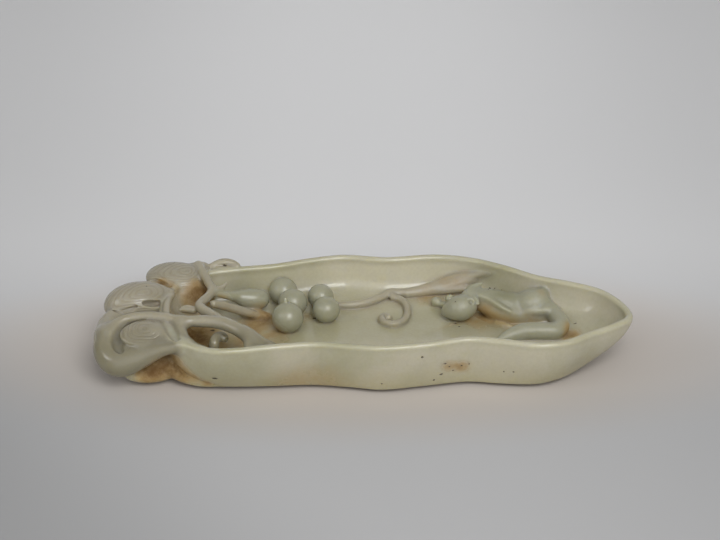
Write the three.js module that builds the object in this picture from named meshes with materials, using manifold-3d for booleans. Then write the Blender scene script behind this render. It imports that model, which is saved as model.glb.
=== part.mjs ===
// A brush washer carved from one pale green jade pebble: a long, shallow, lobed dish with a pointed lip
// at its right end. Three fungus heads and their stems stand in openwork at the left end, and grapes on a
// vine with a curled tendril and a crawling hornless dragon lie on the floor of the dish.
// Millimetres, +X along the dish towards its pointed lip, +Y to the back, +Z up, standing on z = 0.
import * as THREE from "three";
import Module from "manifold-3d";

// Driving dimensions
const LENGTH = 200; // outermost fungus head to the tip of the lip
const RIM_HEIGHT = 21; // top of the rim over the underside
const FLOOR_THICKNESS = 6.5; // stone under the dish's floor
const WALL = 2.9; // wall at the rim
const FLOOR_FILLET = 3; // hollow curve between the wall and the floor

// Fineness of the facets
const RIM_STEPS = 74; // round the dish
const WALL_STEPS = 4; // up the outside
const LIP_STEPS = 4; // over the rim
const INSIDE_STEPS = 2; // down inside
const FILLET_STEPS = 2; // into the floor
const STEM_SIDES = 8;
const BODY_SIDES = 10;
const GRAPE_SIDES = 12;
const GRAPE_ROWS = 8;
const HEAD_SIDES = 18;
const HEAD_ROWS = 8;
const SMALL_SIDES = 12; // of the small heads, the skirt and the dragon's haunch
const SMALL_ROWS = 7;

// Places are shares of the length, in percent, from the middle of the dish. A level is a height:
// 0 is the underside, 1 is the floor of the dish and 2 is its rim.
const share = (percent) => (percent / 100) * LENGTH;
const level = (step) =>
  step < 1 ? step * FLOOR_THICKNESS : FLOOR_THICKNESS + (step - 1) * (RIM_HEIGHT - FLOOR_THICKNESS);
const place = ([along, across, step]) => new THREE.Vector3(share(along), share(across), level(step));

// Outline of the rim and of the foot under it, round from the tip by the back:
// along and across at the rim, along and across at the foot. Lobes swell between the hollows.
const OUTLINE = [
  [50.2, -7.4, 40.4, -7.6], // tip of the lip
  [49.5, -2.3, 39.6, -3.6],
  [46.0, 3.2, 37.9, 0],
  [40.3, 6.5, 34.6, 3.4],
  [34.1, 9.0, 30.5, 6.7], // hollow behind the dragon
  [27.9, 13.2, 25.6, 11.4],
  [21.2, 16.5, 20.4, 14.7],
  [13.9, 17.7, 13.9, 16.0], // back lobe
  [4.6, 16.6, 4.6, 15.2], // hollow
  [-3.9, 17.6, -3.9, 16.0], // back lobe
  [-10.8, 16.1, -10.8, 14.6],
  [-17.6, 13.8, -17.6, 12.5],
  [-24.8, 12.5, -24.3, 11.3],
  [-32.0, 10.3, -31.0, 9.3],
  [-37.2, 4.6, -35.6, 4.1],
  [-38.5, -3.1, -36.7, -2.8], // left end, under the fungus heads
  [-37.2, -10.3, -35.6, -9.3],
  [-34.3, -16.0, -34.1, -14.2],
  [-29.4, -19.3, -29.4, -15.9],
  [-24.3, -19.9, -24.3, -16.3], // front lobe
  [-17.0, -18.6, -17.0, -16.1],
  [-9.3, -17.5, -9.3, -15.7], // hollow
  [-3.1, -18.2, -2.6, -16.5],
  [3.6, -18.8, 3.6, -17.4], // front lobe
  [11.4, -17.7, 11.4, -16.0],
  [19.1, -15.7, 19.1, -14.6], // hollow
  [24.8, -16.4, 24.8, -15.2],
  [31.5, -17.8, 31.0, -15.5], // front lobe
  [37.2, -16.8, 34.3, -14.6],
  [42.1, -13.7, 37.2, -12.9],
  [46.7, -10.9, 39.4, -10.5],
];
const BULGE = 0.85; // how fast the wall swings out above the foot: lower is rounder
const MAX_SLANT = 3; // most that a slanting wall is thickened, so that it keeps WALL square to its face

// Stems and bodies: along, across, level and radius as a share of the length, from station to station.
const STEM = [
  [-15.4, -15.6, 1.4, 1.5], // springs from the inside of the front wall
  [-17.7, -14.3, 1.65, 1.5],
  [-19.8, -13.1, 1.79, 1.3],
  [-22.4, -12.0, 1.92, 1.2],
  [-25.2, -10.6, 2.0, 1.1],
  [-29.8, -9.8, 2.07, 1.1],
  [-36.3, -9.2, 2.09, 0.85],
  [-40.9, -8.4, 2.06, 1.1],
  [-44.3, -8.3, 1.9, 1.8], // turns down round the front head
  [-46.6, -9.3, 1.7, 2.3],
  [-47.3, -11.3, 1.5, 2.5],
  [-46.9, -13.3, 1.33, 2.6],
  [-45.2, -15.1, 1.22, 2.8],
  [-42.5, -15.7, 1.25, 2.9],
  [-39.8, -15.9, 1.38, 2.3],
  [-37.2, -16.4, 1.56, 1.6],
  [-34.7, -16.6, 1.72, 1.1],
  [-32.7, -16.6, 1.82, 0.8], // runs out on the front rim
];
const FRONT_CAP = [
  [-44.7, -13.2, 1.84, 0.6],
  [-43.5, -12.4, 1.87, 1.7],
  [-41.9, -11.9, 1.89, 2.4],
  [-40.1, -11.9, 1.87, 2.6],
  [-38.2, -12.5, 1.83, 2.4],
  [-36.5, -13.7, 1.77, 1.8],
  [-34.7, -15.5, 1.74, 1.0],
  [-33.1, -16.4, 1.77, 0.5],
];
const STEM_WEB = [
  [-35.5, -9.8, 2.05, 0.9],
  [-34.4, -12.3, 1.93, 1.1],
  [-32.0, -15.9, 1.87, 1.0],
];
const STEM_FORK = [
  [-22.4, -11.8, 1.92, 0.8],
  [-21.1, -13.8, 1.84, 0.9],
  [-21.6, -16.8, 1.76, 1.0],
];
const STRAP = [
  [-36.3, -8.5, 2.09, 0.8],
  [-36.9, -5.2, 2.09, 0.8],
  [-36.7, -1.4, 2.0, 0.8],
  [-35.9, 3.2, 1.83, 0.9],
];
const TWIG = [
  [-32.2, 9.8, 2.11, 1.0],
  [-30.6, 7.3, 2.06, 0.9],
  [-28.9, 4.4, 1.94, 0.8],
  [-28.4, 2.8, 1.9, 0.8],
  [-29.8, -0.8, 1.97, 0.8],
  [-30.3, -3.7, 2.03, 0.7],
  [-28.8, -6.4, 2.06, 0.8],
  [-27.0, -8.9, 2.06, 0.8],
];
const THORN = [
  [-28.2, 2.8, 1.89, 0.6],
  [-27.4, 4.7, 1.86, 0.5],
  [-26.4, 7.1, 1.84, 0.2],
];
const PEAR = [
  [-28.2, 3.0, 1.87, 0.7],
  [-25.7, 5.0, 1.69, 0.7],
  [-23.9, 6.2, 1.52, 1.4],
  [-22.2, 6.5, 1.4, 2.4],
  [-20.9, 6.7, 1.36, 2.7],
  [-19.6, 6.9, 1.33, 2.2],
];
const LONG_BUD = [
  [-29.2, 0.8, 1.72, 0.8],
  [-27.8, 1.2, 1.62, 1.0],
  [-25.2, 2.0, 1.44, 1.1],
  [-22.6, 2.5, 1.26, 1.1],
  [-20.7, 2.7, 1.16, 0.7],
];
const SHORT_BUD = [
  [-34.9, -2.7, 1.87, 0.7],
  [-33.2, -2.7, 1.85, 0.9],
  [-30.6, -3.4, 1.95, 0.7],
];
const HOOK = [
  [-28.6, -13.0, 0.98, 1.0],
  [-28.6, -9.4, 1.19, 0.9],
  [-28.4, -7.6, 1.3, 0.8],
  [-27.4, -6.4, 1.34, 0.75],
  [-26.1, -6.8, 1.32, 0.7],
  [-25.8, -7.9, 1.26, 0.6],
];
const RIM_LEAF = [
  [-28.6, 11.7, 2.06, 1.0],
  [-27.1, 11.8, 2.1, 1.4],
  [-25.5, 11.9, 2.07, 1.0],
];
const FRONT_FOOT = [
  [-44.9, -12.9, 0.54, 1.3],
  [-41.3, -13.7, 0.63, 2.0],
  [-37.9, -13.7, 0.63, 2.0],
];
const WALL_FOOT = [
  [-38.2, -13.4, 0.62, 1.8],
  [-34.6, -14.2, 0.62, 2.0],
  [-30.5, -14.7, 0.54, 1.5],
];
const FRONT_TRUNK = [
  [-39.2, -10.2, 0.9, 2.2],
  [-40.0, -11.1, 1.12, 2.6],
  [-40.8, -11.9, 1.4, 3.1],
];
const LEFT_TRUNK = [
  [-34.6, -3.1, 0.87, 2.6],
  [-38.7, -2.1, 1.12, 2.4],
  [-41.8, -0.3, 1.5, 3.0],
];
const BACK_TRUNK = [
  [-32.0, 4.6, 0.95, 2.6],
  [-34.6, 6.2, 1.26, 2.6],
  [-36.1, 7.8, 1.65, 3.0],
];
const VINE = [
  [-19.0, 6.8, 1.15, 0.7], // under the grapes
  [-12.4, 7.6, 1.1, 0.7],
  [-6.2, 6.8, 1.1, 0.6],
  [-3.3, 7.2, 1.14, 0.7],
  [1.2, 7.9, 1.16, 0.9],
  [3.5, 9.3, 1.17, 0.8],
  [5.5, 10.3, 1.18, 0.7],
  [7.9, 11.1, 1.2, 0.7],
  [10.6, 11.0, 1.25, 0.9],
  [13.0, 11.5, 1.3, 1.1],
  [16.5, 11.6, 1.45, 1.4],
  [19.9, 11.8, 1.6, 1.6],
  [23.5, 11.9, 1.75, 1.4],
  [26.4, 12.2, 1.86, 0.9], // runs out on the back wall
];
const TENDRIL = [
  [5.1, 10.1, 1.15, 0.7],
  [7.0, 9.1, 1.12, 0.7],
  [8.6, 7.3, 1.1, 0.7],
  [9.1, 4.7, 1.08, 0.7],
  [8.2, 1.8, 1.08, 0.7],
  [6.3, 0.1, 1.08, 0.7],
  [4.2, 0.6, 1.08, 0.7],
  [3.3, 2.2, 1.08, 0.6],
  [4.2, 3.3, 1.08, 0.6],
  [5.2, 2.7, 1.08, 0.7],
];
const DRAGON_HEAD = [
  [15.7, 3.3, 1.26, 1.0], // snout
  [16.9, 3.1, 1.32, 2.1],
  [18.6, 3.1, 1.37, 2.7],
  [20.0, 3.8, 1.4, 2.7],
  [21.3, 4.4, 1.49, 2.0],
];
const DRAGON_MANE = [
  [19.8, 5.1, 1.62, 1.4],
  [21.0, 6.4, 1.72, 1.2],
  [22.4, 7.5, 1.77, 0.8],
  [23.4, 7.9, 1.78, 0.3],
];
const DRAGON_BODY = [
  [21.2, 4.6, 1.44, 2.2], // neck
  [24.0, 4.2, 1.42, 2.6],
  [26.1, 3.8, 1.38, 2.8],
  [28.2, 3.6, 1.36, 2.8],
  [30.4, 4.4, 1.36, 2.9],
  [32.6, 5.4, 1.34, 2.9],
  [34.5, 4.9, 1.3, 2.4], // rump
  [36.4, 2.6, 1.26, 2.0],
  [37.3, -0.4, 1.24, 1.8], // the tail turns back along the front wall
  [35.7, -3.4, 1.22, 1.8],
  [32.9, -4.1, 1.2, 1.7],
  [30.1, -4.1, 1.18, 1.5],
  [27.4, -5.3, 1.14, 1.0],
  [25.2, -6.9, 1.1, 0.4],
];
const NEAR_FORELEG = [
  [23.2, 3.5, 1.6, 1.1],
  [25.4, 2.7, 1.47, 1.3],
  [27.8, 2.1, 1.28, 1.2],
  [29.1, 1.4, 1.1, 1.0],
];
const FAR_FORELEG = [
  [14.2, 8.2, 1.12, 1.1], // paw
  [16.5, 7.4, 1.19, 1.0],
  [18.7, 8.0, 1.3, 1.2],
  [21.7, 7.8, 1.42, 1.5],
];
const FAR_HIND_LEG = [
  [32.6, 5.6, 1.42, 1.5],
  [34.3, 6.0, 1.56, 1.2],
  [35.3, 5.9, 1.5, 0.9],
];

// Grapes: along, across, radius and how far each is lifted by its neighbours, as a share of its radius.
const GRAPES = [
  [-14.8, -0.6, 2.8, 0],
  [-7.2, 2.7, 2.6, 0],
  [-8.3, 7.9, 2.5, 0],
  [-13.6, 4.2, 2.7, 0.2],
  [-15.8, 8.8, 2.7, 0],
  [-19.0, 1.9, 2.4, 0],
];
const GRAPE_SUNK = 0.1; // share of its radius that a grape stands in the floor

// Fungus heads: middle, half length, half breadth, rise, depth under the edge as a share of the rise,
// turn about the upright in degrees and depth of the notch where the stem comes in.
const LEFT_HEAD = {
  middle: [-42.6, 0.2, 1.76],
  reach: 6.9,
  breadth: 4.9,
  rise: 4.3,
  turn: 14,
  notch: 0.16,
};
const BACK_HEAD = {
  middle: [-36.6, 8.6, 1.94],
  reach: 6.2,
  breadth: 3.9,
  rise: 2.1,
  under: 1.2,
  turn: -6,
  notch: 0.12,
};
const FRONT_CORE = { middle: [-41.4, -13.0, 1.5], reach: 4.8, breadth: 3.0, rise: 3.0, under: 1 };
const SKIRT = { middle: [-34.0, 4.6, 1.5], reach: 4.4, breadth: 3.9, rise: 3.3 };
const RIM_BUD = { middle: [-32.1, 10.7, 2.05], reach: 2.6, breadth: 1.7, rise: 1.3 };
const CHEEK = { middle: [17.1, 6.4, 1.35], reach: 1.1, breadth: 1.1, rise: 1.1 };
const HAUNCH = { middle: [31.8, 4.6, 1.42], reach: 3.0, breadth: 2.7, rise: 2.7 };
const UNDERSIDE_SHARE = 0.45; // depth under the edge where a form names none
const NOTCH_ANGLE = -0.6; // radians from the head's length
const NOTCH_SPREAD = 0.5; // radians

const UPRIGHT = 0.9; // a stem that starts more upright than this takes its first side from X

// A closed surface through rings of points, with a single point at each end.
function surface(first, rings, last) {
  const count = rings[0].length;
  const points = [first, ...rings.flat(), last];
  const index = [];
  const at = (ring, step) => 1 + ring * count + (step % count);
  for (let step = 0; step < count; step += 1) {
    index.push(0, at(0, step + 1), at(0, step));
    index.push(points.length - 1, at(rings.length - 1, step), at(rings.length - 1, step + 1));
    for (let ring = 0; ring + 1 < rings.length; ring += 1) {
      index.push(at(ring, step), at(ring, step + 1), at(ring + 1, step));
      index.push(at(ring + 1, step), at(ring, step + 1), at(ring + 1, step + 1));
    }
  }
  const geometry = new THREE.BufferGeometry().setFromPoints(points);
  geometry.setIndex(index);
  return geometry;
}

const smooth = (points, closed) => new THREE.CatmullRomCurve3(points, closed, "catmullrom");

// A round bar along a curve through the stations, with round ends and a radius that changes from
// each station to the next. The side that its rings start from is carried along with it, untwisted.
function bar(stations, sides) {
  const path = smooth(stations.map(place), false);
  const last = stations.length - 1;
  const side = new THREE.Vector3(0, 0, 1);
  if (Math.abs(path.getTangent(0).z) > UPRIGHT) side.set(1, 0, 0);
  const rings = [];
  const addRing = (middle, along, radius) => {
    side.addScaledVector(along, -side.dot(along)).normalize();
    const other = new THREE.Vector3().crossVectors(along, side);
    const ring = Array.from({ length: sides }, (_, i) => {
      const angle = (2 * Math.PI * i) / sides;
      return middle
        .clone()
        .addScaledVector(side, radius * Math.cos(angle))
        .addScaledVector(other, radius * Math.sin(angle));
    });
    rings.push(ring);
  };
  const beyond = (station, distance) =>
    path.getPoint(station / last).addScaledVector(path.getTangent(station / last), distance);
  stations.forEach(([, , , percent], i) => {
    const radius = share(percent);
    const along = path.getTangent(i / last);
    const shoulder = radius * Math.SQRT1_2; // half way round the end
    if (i === 0) addRing(beyond(i, -shoulder), along, shoulder);
    addRing(beyond(i, 0), along, radius);
    if (i === last) addRing(beyond(i, shoulder), along, shoulder);
  });
  return surface(beyond(0, -share(stations[0][3])), rings, beyond(last, share(stations[last][3])));
}

// A dome with a rounded edge over a shallower underside, its outline drawn in by the notch.
function dome({ middle, reach, breadth, rise, under = UNDERSIDE_SHARE, turn = 0, notch = 0 }, sides, rows) {
  const point = (row, angle) => {
    const polar = Math.PI * (1 - row / rows);
    const bearing = Math.atan2(Math.sin(angle - NOTCH_ANGLE), Math.cos(angle - NOTCH_ANGLE));
    const drawn = Math.sin(polar) * (1 - notch * Math.exp(-((bearing / NOTCH_SPREAD) ** 2)));
    const height = Math.cos(polar) * (polar < Math.PI / 2 ? 1 : under);
    return new THREE.Vector3(
      share(reach) * drawn * Math.cos(angle),
      share(breadth) * drawn * Math.sin(angle),
      share(rise) * height,
    );
  };
  const rings = [];
  for (let row = 1; row < rows; row += 1) {
    rings.push(Array.from({ length: sides }, (_, i) => point(row, (2 * Math.PI * i) / sides)));
  }
  const geometry = surface(point(0, 0), rings, point(rows, 0));
  geometry.rotateZ(THREE.MathUtils.degToRad(turn));
  return geometry.translate(middle.x, middle.y, middle.z);
}

const head = (form, sides, rows) => dome({ ...form, middle: place(form.middle) }, sides, rows);

function grape([along, across, radius, perch]) {
  const height = FLOOR_THICKNESS + share(radius) * (1 - GRAPE_SUNK + perch);
  const middle = new THREE.Vector3(share(along), share(across), height);
  const ball = { middle, reach: radius, breadth: radius, rise: radius, under: 1 };
  return dome(ball, GRAPE_SIDES, GRAPE_ROWS);
}

// The dish: the section goes from the middle of the underside out to the foot, up the swelling wall,
// over the round lip, down inside it by the wall's thickness and through the fillet to the floor.
function dish() {
  const rim = smooth(OUTLINE.map((p) => new THREE.Vector3(share(p[0]), share(p[1]), 0)), true);
  const foot = smooth(OUTLINE.map((p) => new THREE.Vector3(share(p[2]), share(p[3]), 0)), true);
  const lip = WALL / 2;
  const turn = (height) => Math.sin((Math.PI / 2) * (height / RIM_HEIGHT) ** BULGE);
  const columns = [];
  for (let step = 0; step < RIM_STEPS; step += 1) {
    const u = step / RIM_STEPS;
    const top = rim.getPoint(u);
    const bottom = foot.getPoint(u);
    const along = rim.getTangent(u);
    const inward = new THREE.Vector3(-along.y, along.x, 0);
    const overhang = bottom.clone().sub(top).dot(inward);
    const outside = (height) => bottom.clone().lerp(top, turn(height)).setZ(height);
    const inside = (height) => {
      const slope = (overhang * (turn(height + lip) - turn(height - lip))) / (2 * lip);
      return outside(height).addScaledVector(inward, WALL * Math.min(Math.hypot(1, slope), MAX_SLANT));
    };
    const column = [];
    for (let i = 0; i <= WALL_STEPS; i += 1) {
      column.push(outside(((RIM_HEIGHT - lip) * i) / WALL_STEPS));
    }
    for (let i = 1; i < LIP_STEPS; i += 1) {
      const angle = (Math.PI * i) / LIP_STEPS;
      const point = outside(RIM_HEIGHT - lip).addScaledVector(inward, lip * (1 - Math.cos(angle)));
      column.push(point.setZ(RIM_HEIGHT - lip + lip * Math.sin(angle)));
    }
    const hollow = FLOOR_THICKNESS + FLOOR_FILLET;
    for (let i = 0; i <= INSIDE_STEPS; i += 1) {
      column.push(inside(RIM_HEIGHT - lip + ((hollow - RIM_HEIGHT + lip) * i) / INSIDE_STEPS));
    }
    const wallFoot = inside(hollow);
    for (let i = 1; i <= FILLET_STEPS; i += 1) {
      const angle = (Math.PI / 2) * (i / FILLET_STEPS);
      column.push(
        wallFoot
          .clone()
          .addScaledVector(inward, FLOOR_FILLET * (1 - Math.cos(angle)))
          .setZ(hollow - FLOOR_FILLET * Math.sin(angle)),
      );
    }
    columns.push(column);
  }
  const rings = columns[0].map((_, row) => columns.map((column) => column[row]));
  return surface(new THREE.Vector3(0, 0, 0), rings, new THREE.Vector3(0, 0, FLOOR_THICKNESS));
}

const wasm = await Module();
wasm.setup();

function solidFrom(geometry) {
  const vertProperties = geometry.getAttribute("position").array;
  const triVerts = Uint32Array.from(geometry.getIndex().array);
  const solid = new wasm.Manifold(new wasm.Mesh({ numProp: 3, vertProperties, triVerts }));
  if (solid.volume() < 0) throw new Error("a surface is inside out");
  return solid;
}

const slender = [STEM_WEB, STEM_FORK, STRAP, TWIG, THORN, LONG_BUD, SHORT_BUD, HOOK, RIM_LEAF];
slender.push(VINE, TENDRIL, DRAGON_MANE, NEAR_FORELEG, FAR_FORELEG, FAR_HIND_LEG);
const stout = [STEM, FRONT_CAP, PEAR, DRAGON_HEAD, DRAGON_BODY];
stout.push(FRONT_FOOT, WALL_FOOT, FRONT_TRUNK, LEFT_TRUNK, BACK_TRUNK);
const pieces = [
  dish(),
  ...slender.map((stations) => bar(stations, STEM_SIDES)),
  ...stout.map((stations) => bar(stations, BODY_SIDES)),
  ...GRAPES.map(grape),
  ...[LEFT_HEAD, BACK_HEAD].map((form) => head(form, HEAD_SIDES, HEAD_ROWS)),
  ...[FRONT_CORE, SKIRT, RIM_BUD, CHEEK, HAUNCH].map((form) => head(form, SMALL_SIDES, SMALL_ROWS)),
];

const carved = pieces.map(solidFrom).reduce((whole, piece) => whole.add(piece));
const { vertProperties, triVerts } = carved.getMesh();
const stone = new THREE.BufferGeometry();
stone.setAttribute("position", new THREE.BufferAttribute(vertProperties, 3));
stone.setIndex(new THREE.BufferAttribute(triVerts, 1));
stone.computeBoundingBox();
const middle = stone.boundingBox.getCenter(new THREE.Vector3());
stone.translate(-middle.x, -middle.y, -stone.boundingBox.min.z);

const jade = new THREE.MeshStandardMaterial({ color: 0xb4b89c, roughness: 0.3, metalness: 0 });
const washer = new THREE.Mesh(stone, jade);
washer.name = "brush_washer";

const group = new THREE.Group();
group.add(washer);
export default group;
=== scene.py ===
"""A brush washer carved from one pale green jade pebble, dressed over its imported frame.

The stone is carved as a grid of distances: bars, domes and the dish are functions of the place, joined
with soft fillets and cut with pits and grooves, and one skin is drawn over all of them.
"""
import math

import bpy
import numpy as np
from bpy.props import FloatProperty, FloatVectorProperty, PointerProperty
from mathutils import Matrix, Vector


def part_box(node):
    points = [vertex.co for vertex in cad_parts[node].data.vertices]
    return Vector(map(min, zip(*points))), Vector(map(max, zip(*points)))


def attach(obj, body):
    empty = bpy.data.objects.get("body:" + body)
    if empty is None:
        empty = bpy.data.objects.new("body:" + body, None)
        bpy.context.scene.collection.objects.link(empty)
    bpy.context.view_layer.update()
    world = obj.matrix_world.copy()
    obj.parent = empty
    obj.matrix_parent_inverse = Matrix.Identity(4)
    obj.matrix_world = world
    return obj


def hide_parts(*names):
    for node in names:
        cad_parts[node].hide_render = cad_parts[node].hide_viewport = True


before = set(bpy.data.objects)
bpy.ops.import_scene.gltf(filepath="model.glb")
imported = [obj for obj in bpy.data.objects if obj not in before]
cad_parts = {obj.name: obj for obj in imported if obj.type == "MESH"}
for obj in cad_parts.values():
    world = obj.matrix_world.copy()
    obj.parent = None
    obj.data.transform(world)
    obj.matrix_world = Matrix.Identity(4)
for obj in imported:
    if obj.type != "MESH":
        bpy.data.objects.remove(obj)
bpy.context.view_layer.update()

bl_info = {
    "name": "Jade brush washer",
    "version": (1, 0, 0),
    "blender": (4, 5, 0),
    "location": "View3D > Sidebar > Washer",
    "description": "Carves a jade brush washer with grapes, fungus heads and a dragon, and sets its stage",
    "category": "Object",
}

NODE = "brush_washer"
NODE_BOX = [np.array(corner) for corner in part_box(NODE)]
MM = 0.001
LENGTH = (NODE_BOX[1][0] - NODE_BOX[0][0]) / MM  # outermost fungus head to the tip of the lip

FAR = 9.0  # mm, the distance of places that no form is near
MARGIN = 2.0  # mm of empty block round the stone
LEFT_END = 0.505  # of the length, from the middle of the dish to the block's left side
HEADS_OVER_RIM = 6  # mm from the rim to the block's top
FORM_MARGIN = 3.0  # mm round a form in which its distances are worked out
BAR_MARGIN = 2.6  # the same round one piece of a bar
BAR_STEP = 0.8  # mm between the points of a bar's curve
OUTLINE_CELL = 0.9  # mm between the points at which an outline's distance is worked out
OUTLINE_LEVELS = 11  # outlines from the foot to the rim
LOWEST = 0.3  # mm over the underside, the lowest place of an outline
RISE_STEP = 0.2  # mm up and down over which the wall's lean is measured
FOOT_EDGE = 1.0  # mm of blend round the underside
RELAX_ROUNDS = 4  # times that the points are evened out
NEAR_CELLS = 5  # a side of the cube whose share of stone shows a crease, for tan skin and painted shade there
WIDE_CELLS = 17  # the same for a deep hollow, for more brown skin and painted shade there
SPOT_FALL = 1.2  # how fast a spot of skin and painted shadow, and a spot of moss and painted shade, fades at its reach
BARE_CLEAN = 0.5  # how much less skin and painted shadow the stems hold
OUTLINE_STEPS = 5  # points of the outline's curve from one place to the next

# Places are shares of the length, in percent, from the middle of the dish. A level is a height:
# 0 is the underside, 1 is the floor of the dish and 2 is its rim.

# Outline of the rim and of the foot under it, round from the tip by the back:
# along and across at the rim, along and across at the foot.
OUTLINE = [
    (50.2, -7.4, 40.4, -7.6), (49.5, -2.3, 39.6, -3.6), (46, 3.2, 37.9, 0), (40.3, 6.5, 34.6, 3.4),
    (34.1, 9, 30.5, 6.7), (27.9, 13.2, 25.6, 11.4), (21.2, 16.5, 20.4, 14.7), (13.9, 17.7, 13.9, 16),
    (4.6, 16.6, 4.6, 15.2), (-3.9, 17.6, -3.9, 16), (-10.8, 16.1, -10.8, 14.6),
    (-17.6, 13.8, -17.6, 12.5), (-24.8, 12.5, -24.3, 11.3), (-32, 10.3, -31, 9.3),
    (-37.2, 4.6, -35.6, 4.1), (-38.5, -3.1, -36.7, -2.8), (-37.2, -10.3, -35.6, -9.3),
    (-34.3, -16, -34.1, -14.2), (-29.4, -19.3, -29.4, -15.9), (-24.3, -19.9, -24.3, -16.3),
    (-17, -18.6, -17, -16.1), (-9.3, -17.5, -9.3, -15.7), (-3.1, -18.2, -2.6, -16.5),
    (3.6, -18.8, 3.6, -17.4), (11.4, -17.7, 11.4, -16), (19.1, -15.7, 19.1, -14.6),
    (24.8, -16.4, 24.8, -15.2), (31.5, -17.8, 31, -15.5), (37.2, -16.8, 34.3, -14.6),
    (42.1, -13.7, 37.2, -12.9), (46.7, -10.9, 39.4, -10.5),
]
BULGE = 0.85  # how fast the wall swings out above the foot

# Stems and bodies: along, across, level and radius in percent of the length, from station to station.
STEM = [
    (-16.4, -15.1, 1.68, 0.9), (-18, -15, 1.78, 1), (-19.6, -14.5, 1.87, 1.1), (-21.1, -13.5, 1.92, 1.2),
    (-22.7, -12.3, 1.95, 1.2), (-24.2, -11.1, 1.98, 1.3), (-26.1, -10, 2, 1.3), (-28, -9.7, 2.02, 1.2),
    (-29.8, -9.6, 2.03, 1.2), (-31.6, -9.6, 2.03, 1.1), (-33.3, -9.8, 2.04, 1.1), (-35, -9.2, 2.04, 1),
    (-37.3, -8.4, 2.05, 0.95), (-39.5, -7.9, 2.04, 0.95), (-41.6, -7.6, 2, 0.95), (-43.5, -7.6, 1.95, 1),
    (-45, -8.2, 1.88, 1.2), (-46.1, -9, 1.78, 1.6), (-46.9, -10.2, 1.65, 2.1),
]
FRONT_BODY = [
    (-47.2, -10.4, 1.58, 2.4), (-47.3, -12.1, 1.42, 2.7), (-46.6, -13.8, 1.3, 2.8),
    (-44.9, -15.1, 1.23, 2.85), (-42.5, -15.4, 1.33, 2.5), (-39.8, -15.5, 1.47, 1.8),
    (-37.2, -15.9, 1.66, 1.15), (-34.7, -16.3, 1.79, 0.8), (-32.7, -16.5, 1.85, 0.65),
]
CAP_TAIL = [
    (-38.4, -11.6, 1.87, 1.5), (-37, -12.2, 1.85, 1.3), (-35.6, -13.6, 1.81, 1), (-34, -14.8, 1.78, 0.8),
    (-32.3, -15.8, 1.8, 0.7),
]
CAP_SLOPE = [
    (-40.3, -14.5, 1.6, 1.5), (-38.4, -14.6, 1.6, 1.6), (-36.7, -14.9, 1.66, 1.4),
    (-35, -15.5, 1.73, 1.1), (-33.2, -16.2, 1.79, 0.8),
]
STEM_WEB = [
    (-33.9, -10, 1.98, 1.1), (-33.5, -12, 1.92, 1), (-32.7, -14.1, 1.88, 0.9), (-31.1, -16.2, 1.85, 0.8),
    (-28.9, -17.6, 1.83, 0.7),
]
STEM_FORK = [(-21.8, -12.4, 1.93, 1), (-21.1, -14.2, 1.9, 1), (-20.9, -16.3, 1.84, 1)]
STEM_FAN = [(-20.8, -13.8, 1.9, 0.9), (-19.4, -15.6, 1.83, 0.9), (-19, -16.6, 1.78, 0.9)]
STRAP = [
    (-36.5, -8.3, 2.04, 0.71), (-36.9, -5.3, 2.04, 0.73), (-37, -2.6, 2.01, 0.7),
    (-36.9, -0.3, 1.95, 0.6), (-36.6, 1.7, 1.88, 0.45),
]
TWIG = [
    (-32.3, 11.3, 2.1, 0.95), (-31, 8, 2.07, 0.95), (-29.9, 5.4, 2.02, 0.85), (-29.1, 3.1, 1.97, 0.85),
    (-29.5, 0.9, 1.96, 0.85), (-30.4, -1.3, 1.98, 0.85), (-30.9, -3.3, 2, 0.9), (-30.2, -5.1, 2.02, 1),
    (-28.7, -6.7, 2.03, 0.9), (-26.9, -8.5, 2.03, 0.8),
]
THORN = [
    (-28.6, 2.9, 1.94, 0.7), (-27.6, 3.7, 1.94, 0.65), (-26.9, 4.8, 1.95, 0.45), (-26.5, 5.7, 1.96, 0.2),
]
PEAR = [
    (-28.7, 2.3, 1.93, 0.7), (-27.3, 3, 1.83, 0.75), (-25.8, 3.7, 1.73, 0.9), (-24.4, 4.9, 1.6, 1.25),
    (-22.9, 5.6, 1.5, 1.8), (-21.4, 6.1, 1.44, 2.1), (-20.3, 6.4, 1.4, 2),
]
PEAR_BASE = [(-22.6, 5, 1.14, 1.5), (-20.4, 4.2, 1.05, 1.3), (-18.6, 4, 1.02, 0.9)]
LONG_BUD = [
    (-28.5, -1.1, 1.86, 0.7), (-27.5, -0.2, 1.76, 0.85), (-25.9, 0.9, 1.6, 0.9), (-24.1, 1.8, 1.44, 0.9),
    (-22.2, 2.6, 1.28, 0.85), (-20.8, 3.2, 1.16, 0.7),
]
SHORT_BUD = [
    (-34.5, -3.9, 1.9, 0.34), (-33.9, -3.6, 1.9, 0.68), (-33, -3.6, 1.9, 0.83), (-32, -4.1, 1.9, 0.68),
]
HOOK = [
    (-28.2, -14.5, 1, 1.1), (-27.9, -12, 1.15, 1.05), (-27.8, -11.4, 1.35, 1),
    (-27.7, -11.1, 1.47, 0.95), (-27.6, -10.4, 1.52, 0.95), (-27.1, -9.6, 1.54, 0.95),
    (-26.4, -9.3, 1.53, 0.9), (-26, -9.6, 1.5, 0.85),
]
RIM_LEAF = [
    (-29.7, 12.3, 2.03, 0.5), (-28.5, 12.7, 2.06, 0.75), (-27.2, 12.9, 2.07, 0.85),
    (-25.8, 12.8, 2.05, 0.75), (-24.8, 12.4, 2.02, 0.55),
]
LEAF_LIP = [
    (-29.4, 12, 1.99, 0.3), (-28.1, 11.6, 1.97, 0.3), (-26.5, 11.7, 1.97, 0.3),
    (-25.2, 12.1, 1.99, 0.25),
]
BACK_CURL = [
    (-40.9, 8.4, 1.86, 0.35), (-40.3, 8.6, 1.93, 0.35), (-39.4, 8.5, 1.97, 0.35), (-38.3, 7, 1.95, 0.35),
    (-37.3, 5.2, 1.9, 0.35), (-36.5, 4, 1.86, 0.3),
]
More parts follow.
